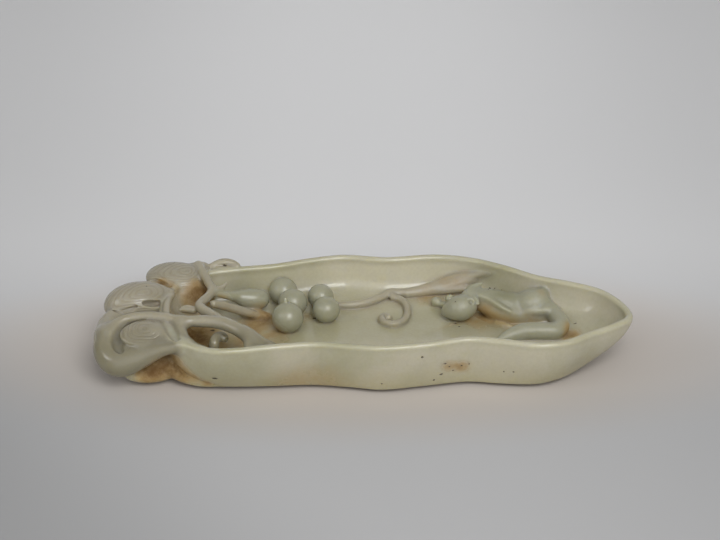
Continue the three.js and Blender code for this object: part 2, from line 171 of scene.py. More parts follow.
LEFT_NOSE = [
    (-41.1, 2.6, 1.96, 1.6), (-39.4, 2.4, 1.97, 1.28), (-37.8, 2.1, 1.97, 0.9), (-36.9, 2, 1.96, 0.53),
]
FRONT_FLANK = [(-47.1, -4.1, 1.62, 2.07), (-47.8, -5.9, 1.55, 2.26), (-47.9, -8.6, 1.5, 2.35)]
WALL_FOOT = [
    (-36.4, -12.9, 0.66, 1.4), (-35, -13.5, 0.62, 1.5), (-33.1, -14.5, 0.5, 1.5),
    (-30.5, -15.4, 0.33, 1.2), (-27.9, -16, 0.2, 0.6),
]
FRONT_TRUNK = [(-39.2, -10.2, 0.9, 2.2), (-40, -11.1, 1.12, 2.6), (-40.8, -11.9, 1.4, 3.1)]
LEFT_TRUNK = [(-34.6, -3.1, 0.87, 2.6), (-38.7, -2.1, 1.12, 2.4), (-41.8, -0.3, 1.5, 3)]
BACK_TRUNK = [(-32, 4.6, 0.95, 2.6), (-34.6, 6.2, 1.26, 2.6), (-36.1, 7.8, 1.65, 3)]
VINE = [
    (-8.2, 7.9, 1.1, 0.6), (-4.5, 7.7, 1.1, 0.7), (-2.3, 7.7, 1.11, 0.75), (0, 8.4, 1.11, 0.8),
    (2, 9.5, 1.12, 0.8), (3.7, 10.8, 1.13, 0.75), (5.3, 12.2, 1.14, 0.9), (7.1, 12.3, 1.13, 0.85),
    (8.7, 12.4, 1.14, 0.9), (10.7, 12.9, 1.17, 0.85), (13, 13.6, 1.22, 0.9), (15.4, 14.3, 1.28, 1),
    (17.8, 14.8, 1.36, 1.1), (20.2, 14.8, 1.45, 1.05), (22.3, 14.4, 1.55, 0.85), (24.4, 13.8, 1.66, 0.6),
    (26, 13.2, 1.74, 0.3),
]
VINE_UNDER = [
    (8.7, 12, 1.12, 0.6), (11.1, 12.4, 1.12, 0.65), (13.4, 12.9, 1.13, 0.7), (15.8, 13, 1.15, 0.75),
    (18.2, 13.2, 1.17, 0.75), (20.5, 13.2, 1.2, 0.75),
]
TENDRIL = [
    (5.9, 10.8, 1.12, 0.7), (7.3, 9.9, 1.11, 0.7), (8.3, 8.1, 1.1, 0.7), (8.6, 5.3, 1.09, 0.7),
    (8, 2.5, 1.09, 0.7), (6.7, 0.9, 1.09, 0.7), (5.2, 0.6, 1.09, 0.7), (3.9, 1.5, 1.09, 0.7),
    (3.5, 2.7, 1.09, 0.7), (4.1, 3.5, 1.09, 0.7), (4.8, 2.8, 1.1, 0.75),
]
DRAGON_HEAD = [
    (15.7, 3.5, 1.2, 0.65), (16.3, 3.4, 1.27, 1.3), (17.5, 3.2, 1.33, 2.05), (18.7, 3.2, 1.38, 2.6),
    (19.6, 3.4, 1.4, 2.3),
]
DRAGON_BODY = [
    (19.6, 4.6, 1.45, 1.7), (21, 5.5, 1.5, 1.7), (22.6, 5.9, 1.5, 1.8), (24.3, 5.5, 1.47, 2),
    (26.2, 4.9, 1.42, 2.15), (28.1, 4.7, 1.38, 2.15), (30.1, 4.7, 1.36, 2.05), (32, 4.7, 1.38, 2.25),
    (33.7, 4.7, 1.36, 2.05), (35.2, 4.3, 1.3, 1.7), (36.5, 3.2, 1.25, 1.6), (37.4, 0.9, 1.22, 1.6),
    (37.6, -1.5, 1.2, 1.7), (36.5, -3.1, 1.19, 1.7), (34.7, -3.4, 1.2, 1.7), (32.7, -3.4, 1.2, 1.7),
    (30.6, -3.4, 1.19, 1.65), (28.5, -3.9, 1.14, 1.4), (26.7, -4.7, 1.1, 0.95), (25.2, -5.5, 1.06, 0.4),
]
DRAGON_CHEST = [
    (22.6, 5.6, 1.34, 1.5), (24.3, 4.8, 1.31, 1.88), (26.2, 4, 1.25, 2.07), (28.3, 3.6, 1.22, 1.88),
]
DRAGON_BELLY = [
    (28.1, 3.5, 1.2, 1.79), (30.4, 3.3, 1.18, 1.69), (32.7, 3.5, 1.18, 1.69), (34.9, 3.9, 1.2, 1.69),
]
NEAR_PAW = [
    (25.7, 1.8, 1, 0.38), (26.8, 1, 1.02, 0.47), (27.9, 0.5, 1.03, 0.41), (28.7, 0.2, 1.02, 0.23),
]
NECK_FOLD = [(21.3, 4.3, 1.64, 0.3), (21.8, 3.6, 1.6, 0.38), (22, 3, 1.54, 0.34)]
VINE_SLOPE = [
    (12.5, 13.1, 1.15, 0.85), (15, 13.6, 1.22, 1), (17.5, 14, 1.27, 1.1), (19.8, 14.2, 1.33, 1),
    (21.8, 14.2, 1.4, 0.8),
]
VINE_WEB = [
    (12.3, 13.8, 1.12, 0.68), (14.7, 14.9, 1.15, 0.79), (17.1, 15.5, 1.2, 0.83),
    (19.5, 15.7, 1.26, 0.83), (21.4, 15.4, 1.33, 0.75),
]
DRAGON_BACK = [
    (23.9, 5.9, 1.5, 1.69), (26, 5.6, 1.46, 1.79), (28.2, 5.3, 1.42, 1.79), (30.5, 5.1, 1.42, 1.69),
    (32.6, 5.9, 1.44, 1.69),
]
DRAGON_MANE = [(20.2, 5.1, 1.62, 1), (20.8, 6.5, 1.68, 1), (21.8, 7.3, 1.72, 0.75), (23, 8, 1.77, 0.25)]
SHOULDER = [
    (22.7, 4.6, 1.66, 0.34), (24.3, 3.8, 1.6, 0.39), (25.8, 2.8, 1.52, 0.41), (27.1, 2.1, 1.44, 0.3),
    (28.1, 1.8, 1.38, 0.15),
]
FAR_FORELEG = [
    (14.3, 8.7, 1.13, 1.05), (15.2, 8, 1.12, 0.65), (16.7, 6.8, 1.18, 0.75), (19, 6.9, 1.3, 0.95),
]
THIGH = [
    (30.1, 3, 1.27, 0.26), (31.4, 2.4, 1.33, 0.45), (32.7, 2.2, 1.36, 0.55), (34.1, 2.3, 1.36, 0.64),
    (35.5, 3, 1.34, 0.94),
]
RUMP_TUFT = [(33.6, 4.4, 1.52, 0.85), (34.5, 5.6, 1.6, 0.9), (35.1, 6.9, 1.68, 0.55)]

# Grapes: along, across, radius and lift as a share of the radius.
GRAPES = [
    (-14.5, -0.5, 3.05, 0), (-7.2, 3.2, 2.65, 0), (-8.4, 8.5, 2.55, 0), (-13.7, 5.2, 2.8, 0.1),
    (-15.8, 10.3, 2.8, 0),
]
GRAPE_SUNK = 0.1  # of the radius, into the floor
EAR = (20.5, 2.5, 1.63)
EAR_RING = [
    (EAR[0] + 0.72 * math.cos(t), EAR[1] + 0.32 * math.sin(t), EAR[2] + 0.08 * math.sin(t), 0.24)
    for t in np.linspace(0, 2 * math.pi, 9)
]
EAR_PIT = [(20.4, 2.3, 1.66, 0.3), (20.8, 2.1, 1.63, 0.42)]

# Fungus heads and other domes: middle, half length, half breadth, rise, depth under the edge as a share
# of the rise, and turns in degrees: turn is about the upright and roll lifts the back edge.
LEFT_HEAD = dict(middle=(-43.1, 0.4, 1.74), reach=6.4, breadth=4.5, rise=4.4, under=0.7, turn=14)
BACK_HEAD = dict(middle=(-36.9, 8.8, 1.92), reach=5.5, breadth=4.1, rise=2.3, under=1, turn=-4, roll=8)
FRONT_CORE = dict(middle=(-42.2, -12.8, 1.42), reach=4.7, breadth=3.6, rise=2.3, under=1.3)
FRONT_CAP = dict(middle=(-39.9, -12.1, 1.84), reach=5.0, breadth=3.4, rise=1.3, turn=8, roll=18)
FRONT_FOOT = dict(middle=(-40.2, -13.6, 0.4), reach=4.3, breadth=2.2, rise=1.5, under=1)
RECESS_BACK = dict(middle=(-38.2, -12.2, 0.8), reach=4.2, breadth=2.4, rise=2.6, under=1.3)
SKIRT = dict(middle=(-33.4, 7.0, 1.45), reach=4.5, breadth=3.1, rise=3.1, under=1)
RIM_LOBE = dict(middle=(-32.2, 11.9, 2.0), reach=2.0, breadth=1.5, rise=1.0)
CHEEK = dict(middle=(16.8, 6.7, 1.38), reach=0.95, breadth=0.95, rise=0.95)
HOCK = dict(middle=(35.3, 2.6, 1.38), reach=1.15, breadth=1.0, rise=0.8, under=1)
HAUNCH = dict(middle=(33.0, 5.1, 1.42), reach=2.5, breadth=2.4, rise=2.4)
NIPPLE = dict(middle=(-14.9, 0.5, 1.82), reach=0.45, breadth=0.45, rise=0.8, under=1)
UNDERSIDE_SHARE = 0.45  # of the rise, for a dome that names no underside

# Cuts: the crescent pit at the front head's left, the crease between the wall and its foot, the valley at
# the front head's right, the crease and hollow at the left head's front, and the gap between the heads.
FRONT_PIT = [
    (-43.9, -9.6, 1.96, 0.4), (-44.7, -10.8, 1.88, 0.6), (-45.1, -12.2, 1.79, 0.8),
    (-45.2, -13.5, 1.68, 0.85), (-45, -14.6, 1.63, 0.75), (-44.4, -15.5, 1.6, 0.45),
]
WALL_CREASE = [
    (-35.2, -14.2, 1.14, 0.25), (-33.8, -15.9, 1.11, 0.28), (-32.6, -16.4, 0.94, 0.28),
    (-30.9, -16.8, 0.69, 0.25), (-28.7, -17.1, 0.4, 0.22), (-26.7, -16.7, 0.16, 0.18),
]
CAP_VALLEY = [
    (-36.1, -10.9, 2.1, 0.75), (-35.5, -12.4, 2.05, 0.95), (-35, -13.6, 2.01, 0.95),
    (-34.4, -14.8, 1.97, 0.7), (-33.9, -15.6, 1.96, 0.4),
]
LEFT_CREASE = [
    (-48, -3.2, 1.8, 0.19), (-46.4, -4.2, 1.88, 0.3), (-44.9, -4.2, 1.92, 0.38),
    (-43.6, -3.9, 1.95, 0.34), (-42.7, -3.3, 1.97, 0.23),
]
HEADS_GAP = [
    (-41.5, 6.6, 2, 0.3), (-40.4, 6.2, 2.02, 0.5), (-39.4, 5.6, 2, 0.6), (-38.4, 5, 1.96, 0.6),
    (-37.4, 4.2, 1.93, 0.5), (-36.6, 3.4, 1.9, 0.35),
]
LEFT_HOLLOW = [
    (-41.3, -2.9, 2.03, 0.4), (-40.6, -2.6, 2, 0.55), (-39.9, -2.2, 1.96, 0.65), (-39, -1.7, 1.93, 0.6),
]

# Brown skin, and painted shadow on the floor under the stems, the grapes, the pear and the dragon and under
# the heads: along, across, level, reach in mm and strength.
SKIN_AND_SHADE_SPOTS = [
    (-36.6, -15.4, 1.15, 8, 1), (-39.5, -15, 0.8, 6, 0.9), (-33.6, -16.2, 1, 4, 0.7),
    (-31.2, -17, 0.8, 3, 0.5), (-28.7, -17.1, 0.4, 3, 0.6), (-33.5, -14, 0.4, 6, 0.5),
    (-30.7, 4.7, 1.77, 4.5, 0.9), (-32.3, 4.9, 1.7, 5.5, 0.75), (-34, 4.4, 1.6, 4, 0.4),
    (-31, 6, 1.55, 6, 0.5), (-40.3, 0.4, 1.76, 3.5, 0.9), (-44.6, -1.8, 1.7, 3, 0.6),
    (-32.5, -4, 1.05, 14, 0.9), (-27, -4, 1, 12, 0.9), (-21.5, -3, 1, 8, 0.7), (-20.2, 2, 1.08, 7, 0.6),
    (-18.8, 3.6, 1.1, 4, 0.6), (-16.6, -2, 1, 6, 0.4), (-11.3, 3.6, 1, 5, 0.5),
    (-26.8, 1.4, 1.75, 3, 0.5), (19, 14, 1.3, 4.5, 0.7), (17, 13.6, 1.3, 3.5, 0.6),
    (12, 12.2, 1.02, 7, 0.4), (0, 8.2, 1, 5, 0.3), (5.5, 8.8, 1, 6, 0.25), (24, 4.6, 1.15, 6.5, 0.7),
    (21.6, 3.2, 1, 5, 0.6), (27, 3.4, 1.05, 6, 0.4), (32, 3, 1.05, 7, 0.4), (34.4, 4.8, 1.72, 3.5, 0.3),
    (39.4, -3, 1.12, 5, 0.8), (27.5, 0.8, 1.02, 4.5, 0.3), (-39.2, 5.4, 1.94, 3, 0.9),
    (-37.2, 4.4, 1.9, 3, 0.7), (12.5, 13.3, 1.25, 4, 0.4), (15.5, 14.2, 1.32, 4, 0.5),
    (20.6, 14.8, 1.45, 4, 0.5), (15, 9.6, 1, 4.5, 0.5), (17.6, 1, 1, 3, 0.4),
    (-6.5, -16.2, 0.4, 15, 0.3), (-14, -16.5, 0.4, 12, 0.28), (15.4, -16.3, 1.2, 3.6, 0.5),
    (17.8, -15.8, 1.15, 3, 0.45), (4, -17.8, 1, 9, 0.16), (18.6, -15.4, 1.1, 4, 0.3),
    (-26.2, -9.9, 1.42, 1.4, 0.8), (-39.2, 8, 1.8, 2.5, 0.5),
]

# Mossy clouds in the stone, and olive painted shade on the dragon's flank and on the floor round and under
# the dragon: along, across, level, reach in mm and strength.
MOSS_AND_SHADE_SPOTS = [
    (26.6, 5, 1.62, 6, 0.75), (28.6, 4, 1.5, 5, 0.7), (24.5, 1.2, 1, 7, 0.85), (21, 0.5, 1, 6, 0.5),
    (19, -3, 1, 9, 0.35), (28.5, 0.5, 1.05, 4, 0.6), (-25, -7, 1, 7, 0.5), (24.5, 14.2, 1.6, 5, 0.5),
    (36, 8, 1.7, 6, 0.4), (-24.5, 10.5, 1.4, 8, 0.45), (-42.5, -16.5, 1.1, 9, 0.2),
    (41, -12.5, 1.2, 10, 0.25),
]

# Dark pits: painted shade in the notches of the dragon's spine and its ear, dark spots at the other pits:
# along, across, level, reach in mm and how many times longer than high.
PITS = [
    (24.1, 5.9, 1.74, 0.45, 1.3), (25.2, 5.8, 1.73, 0.4, 1.6), (26.4, 5.4, 1.7, 0.4, 1.8),
    (17.6, 2.1, 1.67, 0.3, 1.4), (20.8, 2.1, 1.62, 0.4, 1), (10.6, -17.7, 1.62, 0.55, 1.2),
    (14.9, -16.4, 1.3, 0.45, 1.3), (15.7, -16, 1.18, 0.4, 1.3), (16.4, -15.7, 1.03, 0.4, 1),
    (17.9, -15.5, 1.16, 0.4, 1.6), (19.3, -15.3, 1.2, 0.35, 1), (14.2, -16.2, 0.89, 0.55, 1.5),
    (12.9, -16.2, 0.49, 0.5, 1), (3.3, -17.9, 0.56, 0.45, 1.2), (25.7, -16, 1.02, 0.35, 1),
    (27.5, -16.3, 1.04, 0.4, 1.5), (-27.2, -18.2, 1, 0.75, 1.9), (-32.4, -16.4, 0.78, 0.5, 1),
    (-9.4, 3.8, 0.99, 0.7, 2), (40.7, 0.5, 1.09, 0.4, 2.4), (17.8, 1.8, 1, 0.5, 1.2),
    (18.4, 0.6, 1, 0.4, 1.2), (-28.9, -0.9, 1, 0.9, 1.3), (-27.2, 12, 2.04, 0.45, 2.2),
    (-41.1, 0.2, 2.33, 0.4, 1.2), (25, 12.4, 1.27, 0.4, 1.6), (26, 12, 1.29, 0.4, 1.6),
    (27.5, 11.2, 1.32, 0.4, 2.4),
]

# Growth rings of the heads: the place they grow from, how many times longer they are to the left and to
# the right than high, how far they droop to the left, their corner and their spacing in mm.
RINGS = [
    dict(place=(-40.3, -11.2, 1.95), left=1.55, right=1.55, droop=0.0, corner=3.0, spacing=1.2),
    dict(place=(-41.0, 1.4, 2.05), left=2.8, right=1.7, droop=0.03, corner=2.0, spacing=1.05),
    dict(place=(-34.0, 8.9, 2.12), left=2.8, right=1.2, droop=0.012, corner=2.0, spacing=1.0),
]
RING_UP = (0, 0.47, 0.88)  # the way the rings' height is measured

TRIANGLES = 190000  # of the finished skin
TONES = ("grey", "cool", "beast", "ringed")  # fungus and stems, fruit and dragon, dragon, fungus heads
TONE_BLEND = 1.6  # mm


def length(name, description, default):
    """A length of the panel, in metres."""
    return FloatProperty(name=name, description=description, default=default, unit="LENGTH")


def colour(name, description, default):
    """A colour of the panel."""
    return FloatVectorProperty(name=name, description=description, default=default, subtype="COLOR")


class WasherSizes(bpy.types.PropertyGroup):
    """Sizes of the dish and fineness of the carving."""

    rim_height: length("Rim height", "Top of the rim over the underside", 0.021)
    floor: length("Floor", "Stone under the floor of the dish", 0.0065)
    wall: length("Wall", "Thickness of the wall", 0.0029)
    fillet: length("Fillet", "Hollow curve between the wall and the floor", 0.0055)
    blend: length("Blend", "Hollow curve where one carved form meets the next", 0.0012)
    pitch: length("Pitch", "Fineness of the carving", 0.0004)


class JadeFinish(bpy.types.PropertyGroup):
    """Colours of the stone."""

    pale: colour("Pale", "Cloudy places", (0.5, 0.475, 0.37))
    green: colour("Green", "Body of the stone", (0.4, 0.385, 0.265))
    warm: colour("Warm", "Yellower stone towards the foot", (0.41, 0.37, 0.2))
    fungus: colour("Fungus", "Heads and stems in front", (0.188, 0.171, 0.112))
    far_fungus: colour("Far fungus", "Heads and stems at the back", (0.32, 0.292, 0.225))
    fruit: colour("Fruit", "Grapes, pear and dragon", (0.309, 0.308, 0.227))
    # Colour of the mossy clouds and of the olive painted shade on the dragon's flank and the floor round
    # it.
    moss_and_shade: colour("Moss", "Darker clouds in the stone", (0.2, 0.197, 0.105))
    # Tan and brown colour the brown skin, and also the painted shade in creases and the painted shadow on
    # the floor.
    tan: colour("Tan", "Thin skin", (0.36, 0.235, 0.085))
    brown: colour("Brown", "Skin left in the hollows", (0.135, 0.066, 0.016))
    gloss: FloatProperty(name="Gloss", description="Roughness of the polish", default=0.2, min=0, max=1)


class StudioLook(bpy.types.PropertyGroup):
    """The ground and the lights."""

    ground: colour("Ground", "Colour of the ground", (0.8, 0.8, 0.806))
    main: FloatProperty(
        name="Main light", description="Power of the light at the right", default=3.6, unit="POWER"
    )
    side: FloatProperty(
        name="Side light", description="Power of the light at the left", default=0.58, unit="POWER"
    )
    sky: FloatProperty(name="Sky", description="Strength of the light all round", default=0.04, min=0)
    front: FloatProperty(
        name="Front", description="Strength of the broad light in front", default=1.6, min=0
    )


def mm(shares):
    """Shares of the length, in percent, as mm."""
    return np.asarray(shares, float) * LENGTH / 100


def spline(points, per_span, closed=False):
    """Catmull-Rom curve: each span is the cubic that leaves a point along the chord of its neighbours."""
    points = np.asarray(points, float)
    if closed:
        padded = np.vstack([points[-1:], points, points[:2]])
    else:
        padded = np.vstack([2 * points[:1] - points[1:2], points, 2 * points[-1:] - points[-2:-1]])
    t = (np.arange(per_span) / per_span)[:, None]
    a, b, c, d = (padded[i : len(padded) - 3 + i, None] for i in range(4))
    cubic = (3 * b - a - 3 * c + d) * t**3
    square = (2 * a - 5 * b + 4 * c - d) * t**2
    curve = (0.5 * (2 * b + (c - a) * t + square + cubic)).reshape(-1, points.shape[1])
    return curve if closed else np.vstack([curve, points[-1:]])


def soft_min(a, b, blend):
    """The lesser of two distances, less the square of how near they are: a round hollow where they meet."""
    near = np.maximum(blend - np.abs(a - b), 0) / blend
    return np.minimum(a, b) - near**2 * (blend / 4)


def reading(field, at):
    """A grid read between its points: the mean of the eight round each place, each by its nearness."""
    base = np.clip(np.floor(at).astype(int), 0, np.array(field.shape) - 2)
    part = at - base
    total = np.zeros(len(at))
    for corner in np.ndindex(2, 2, 2):
        weight = np.prod(np.where(corner, part, 1 - part), axis=1)
        total += weight * field[tuple((base + corner).T)]
    return total


def box_blur(field, width):
    """The mean over a cube of so many cells a side, from running sums along each axis."""
    for axis in range(3):
        pad = [(0, 0)] * 3
        pad[axis] = (width // 2 + 1, width // 2)
        running = np.cumsum(np.pad(field, pad, mode="edge"), axis=axis, dtype=np.float32)
        count = running.shape[axis]
        upper = np.take(running, np.arange(width, count), axis=axis)
        field = (upper - np.take(running, np.arange(count - width), axis=axis)) / width
    return field


class Block:
    """A block of stone as a grid of distances to the carved surface, in mm: under nought is stone."""

    def __init__(self, low, high, pitch, sizes):
        self.pitch = pitch
        self.sizes = sizes
        self.low = np.array(low, float)
        counts = np.ceil((np.array(high) - self.low) / pitch).astype(int) + 1
        self.axes = [self.low[i] + pitch * np.arange(counts[i]) for i in range(3)]
        self.field = np.full(counts, FAR, np.float32)
        self.tones = {tone: np.zeros(counts, np.float32) for tone in TONES}

    def height(self, level):
        """A level as a height: 0 is the underside, 1 the floor and 2 the rim."""
        level = np.asarray(level, float)
        floor, rim = self.sizes["floor"], self.sizes["rim_height"]
        return np.where(level < 1, level * floor, floor + (level - 1) * (rim - floor))

    def place(self, stations):
        """Stations in shares and levels, as places in mm."""
        stations = np.atleast_2d(np.asarray(stations, float))
        return np.column_stack([mm(stations[:, :2]), self.height(stations[:, 2])])

    def window(self, low, high):
        """The part of the grid between two corners, and its coordinates."""
        spans = tuple(slice(*np.searchsorted(axis, ends)) for axis, ends in zip(self.axes, zip(low, high)))
        x, y, z = (axis[span].astype(np.float32) for axis, span in zip(self.axes, spans))
        return spans, x[:, None, None], y[None, :, None], z[None, None, :]

    def add(self, form, blend, *tones):
        """Joins a form to the stone with a round hollow where they meet, and gives its tones to the stone
        round it, by how much nearer the form is than what was there."""
        spans, distance = form
        share = np.clip(0.5 + (self.field[spans] - distance) / TONE_BLEND, 0, 1)
        for tone, weight in self.tones.items():
            weight[spans] += share * ((tone in tones) - weight[spans])
        self.field[spans] = soft_min(self.field[spans], distance, blend)

    def cut(self, form, blend):
        """Cuts a form out of the stone with a round edge."""
        spans, distance = form
        self.field[spans] = -soft_min(-self.field[spans], distance, blend)

    def bar(self, stations):
        """A round bar: the distance to the nearest point of a curve through the stations, less the
        radius there."""
        stations = np.asarray(stations, float)
        track = np.column_stack([self.place(stations), mm(stations[:, 3])])
        span_length = np.linalg.norm(np.diff(track[:, :3], axis=0), axis=1).max()
        track = spline(track, max(2, int(span_length / BAR_STEP)))
        reach = track[:, 3:].max() + FORM_MARGIN
        spans, x, y, z = self.window(track[:, :3].min(0) - reach, track[:, :3].max(0) + reach)
        distance = np.full((x.size, y.size, z.size), FAR, np.float32)
        axes = [x.ravel(), y.ravel(), z.ravel()]
        for a, b in zip(track[:-1], track[1:]):
            margin = max(a[3], b[3]) + BAR_MARGIN
            low, high = np.minimum(a, b)[:3] - margin, np.maximum(a, b)[:3] + margin
            i, j, k = (slice(*np.searchsorted(axis, ends)) for axis, ends in zip(axes, zip(low, high)))
            dx, dy, dz = x[i] - a[0], y[:, j] - a[1], z[:, :, k] - a[2]
            ax, ay, az = b[:3] - a[:3]
            t = np.clip((dx * ax + dy * ay + dz * az) / (ax**2 + ay**2 + az**2), 0, 1)
            away = np.sqrt((dx - t * ax) ** 2 + (dy - t * ay) ** 2 + (dz - t * az) ** 2)
            near = away - (a[3] + t * (b[3] - a[3]))
            distance[i, j, k] = np.minimum(distance[i, j, k], near)
        return spans, distance

    def dome(self, middle, reach, breadth, rise, under=UNDERSIDE_SHARE, turn=0, roll=0):
        """A squashed ball, its underside shallower than its top: the distance is worked out from how far
        out a place lies in shares of the radii, over how fast that share grows there."""
        (centre,) = self.place(middle)
        radii = mm([reach, breadth, rise])
        window = radii.max() + FORM_MARGIN
        spans, x, y, z = self.window(centre - window, centre + window)
        turn, roll = math.radians(turn), math.radians(roll)
        x, y, z = x - centre[0], y - centre[1], z - centre[2]
        x, y = x * math.cos(turn) + y * math.sin(turn), y * math.cos(turn) - x * math.sin(turn)
        y, z = y * math.cos(roll) + z * math.sin(roll), z * math.cos(roll) - y * math.sin(roll)
        up = np.where(z > 0, radii[2], radii[2] * under)
        near = np.sqrt((x / radii[0]) ** 2 + (y / radii[1]) ** 2 + (z / up) ** 2)
        slope = np.sqrt((x / radii[0] ** 2) ** 2 + (y / radii[1] ** 2) ** 2 + (z / up**2) ** 2)
        return spans, (near * (near - 1) / np.maximum(slope, 1e-3)).astype(np.float32)

    def form(self, shape):
        """The distances of a dome, given by its sizes, or of a bar, given by its stations."""
        return self.dome(**shape) if isinstance(shape, dict) else self.bar(shape)

    def join(self, width, shapes, *tones):
        """Adds shapes one after another, each with a hollow so many times as wide as the blend."""
        for shape in shapes:
            self.add(self.form(shape), width * self.sizes["blend"], *tones)

    def carve(self, width, shapes):
        """Cuts shapes out one after another, each with an edge so many times as wide as the blend."""
        for shape in shapes:
            self.cut(self.form(shape), width * self.sizes["blend"])


def outline_distances(points, x, y):
    """Distance to a closed outline in the plane, under nought inside: the least over its sides, its sign
    turned once for each side that passes beneath."""
    best = np.full((x.size, y.size), 1e9)
    sign = np.ones_like(best)
    px, py = x[:, None], y[None, :]
    for a, b in zip(points, np.roll(points, -1, axis=0)):
        ex, ey = b - a
        wx, wy = px - a[0], py - a[1]
        t = np.clip((wx * ex + wy * ey) / (ex**2 + ey**2), 0, 1)
        best = np.minimum(best, (wx - t * ex) ** 2 + (wy - t * ey) ** 2)
        above, below, left = py >= a[1], py < b[1], ex * wy > ey * wx
        sign = np.where((above & below & left) | ~(above | below | left), -sign, sign)
    return sign * np.sqrt(best)


def finer(coarse, factor_x, factor_y):
    """A grid drawn finer by straight lines between its points, along both its axes."""
    rows, columns = coarse.shape
    at_x = np.clip(factor_x, 0, rows - 1.001)
    at_y = np.clip(factor_y, 0, columns - 1.001)
    i, j = at_x.astype(int), at_y.astype(int)
    u, v = (at_x - i)[:, None], (at_y - j)[None, :]
    low = coarse[i][:, j] * (1 - v) + coarse[i][:, j + 1] * v
    high = coarse[i + 1][:, j] * (1 - v) + coarse[i + 1][:, j + 1] * v
    return low * (1 - u) + high * u


def carve_dish(block):
    """The dish: at each height its outline lies between the foot's and the rim's by a quarter of a sine,
    the wall is a band of even thickness inside it under a round lip, and the floor fills the foot."""
    rim, floor, wall, fillet = (block.sizes[key] for key in ("rim_height", "floor", "wall", "fillet"))
    outline = spline(mm(OUTLINE), OUTLINE_STEPS, closed=True)
    x, y, z = block.axes
    cx, cy = (np.arange(axis[0], axis[-1] + OUTLINE_CELL, OUTLINE_CELL) for axis in (x, y))
    spans = OUTLINE_LEVELS - 1
    shares = np.linspace(0, 1, OUTLINE_LEVELS)
    levels = []
    for share in shares:
        points = outline[:, 2:] * (1 - share) + outline[:, :2] * share
        far = outline_distances(points, cx, cy)
        levels.append(finer(far, (x - x[0]) / OUTLINE_CELL, (y - y[0]) / OUTLINE_CELL))
    levels = np.array(levels, np.float32)
    crown = rim - wall / 2

    def swing(height):
        """How far a height's outline lies from the foot's towards the rim's."""
        return math.sin(math.pi / 2 * (height / rim) ** BULGE)

    for k, height in enumerate(z):
        low = float(np.clip(height, LOWEST, crown))
        at = swing(low) * spans
        i = min(int(at), spans - 1)
        step = levels[i + 1] - levels[i]
        rate = (swing(low + RISE_STEP) - swing(low - RISE_STEP)) / (2 * RISE_STEP) * spans
        outside = (levels[i] + step * (at - i)) / np.sqrt(1 + (step * rate) ** 2)
        band = np.abs(outside + wall / 2)
        if height > crown:
            band = np.hypot(band, height - crown)
        base = np.maximum(outside, height - floor)
        stone = soft_min(band - wall / 2, base, fillet)
        if height <= crown:
            stone = np.maximum(stone, outside)
        block.field[:, :, k] = -soft_min(-stone, np.float32(height), FOOT_EDGE)


def carve_forms(block):
    """All that stands on the dish, shape by shape, each with its hollow as a multiple of the blend."""
    fungus, ringed, beast = ("grey",), ("grey", "ringed"), ("cool", "beast")
    block.join(0.5, [WALL_FOOT])
    block.join(1, [FRONT_FOOT])
    block.join(2, [RECESS_BACK, FRONT_TRUNK, LEFT_TRUNK, BACK_TRUNK])
    block.join(1, [FRONT_CORE], *fungus)
    block.join(2, [FRONT_BODY], *fungus)
    block.join(3, [FRONT_FLANK], *fungus)
    block.join(1, [STEM], *fungus)
    block.carve(0.5, [WALL_CREASE])
    block.carve(1.5, [FRONT_PIT])
    block.join(0.7, [FRONT_CAP], *ringed)
    block.join(2, [CAP_TAIL, CAP_SLOPE, STEM_WEB, STEM_FORK, STEM_FAN], *fungus)
    block.carve(1, [CAP_VALLEY])
    block.join(1, [LEFT_HEAD], *ringed)
    block.join(2, [LEFT_NOSE], *ringed)
    block.join(0.7, [BACK_HEAD], *ringed)
    block.join(3, [SKIRT])
    block.carve(0.5, [LEFT_CREASE, LEFT_HOLLOW, HEADS_GAP])
    block.join(1, [BACK_CURL], *fungus)
    block.join(2, [RIM_LOBE], *fungus)
    block.join(1, [STRAP, TWIG, THORN, SHORT_BUD, LONG_BUD, HOOK, RIM_LEAF, LEAF_LIP], *fungus)
    block.join(1, [PEAR_BASE])
    block.join(1, [VINE, VINE_UNDER, VINE_WEB, VINE_SLOPE, TENDRIL], *fungus)
    block.join(1, [PEAR], "cool")
    block.join(2, [DRAGON_CHEST, DRAGON_BELLY], *beast)
    block.join(1, [NEAR_PAW])
    block.join(1, [DRAGON_BODY, DRAGON_BACK, FAR_FORELEG, RUMP_TUFT], *beast)
    block.join(3, [HAUNCH], *beast)
    block.join(1, [HOCK], *beast)
    block.join(1.2, [THIGH, SHOULDER], *beast)
    block.join(0.6, [DRAGON_HEAD], *beast)
    block.join(1.5, [DRAGON_MANE], *beast)
    block.join(0.5, [NECK_FOLD, EAR_RING], *beast)
    block.carve(0.3, [EAR_PIT])
    block.join(0.5, [CHEEK], "cool")
    depth = block.sizes["rim_height"] - block.sizes["floor"]
    for along, across, radius, lift in GRAPES:
        level = 1 + radius * LENGTH / 100 * (1 - GRAPE_SUNK + lift) / depth
        grape = dict(middle=(along, across, level), reach=radius, breadth=radius, rise=radius, under=1)
        block.join(0.5, [grape], "cool")
    block.join(1, [NIPPLE], "cool")


def carve_stone(sizes):
    """The whole carving on one block."""
    plan = mm(OUTLINE)[:, :2]
    low = np.array([-LEFT_END * LENGTH, plan[:, 1].min(), 0]) - MARGIN
    high = np.array([plan[:, 0].max(), plan[:, 1].max(), sizes["rim_height"] + HEADS_OVER_RIM]) + MARGIN
    block = Block(low, high, sizes["pitch"], sizes)
    carve_dish(block)
    carve_forms(block)
    return block


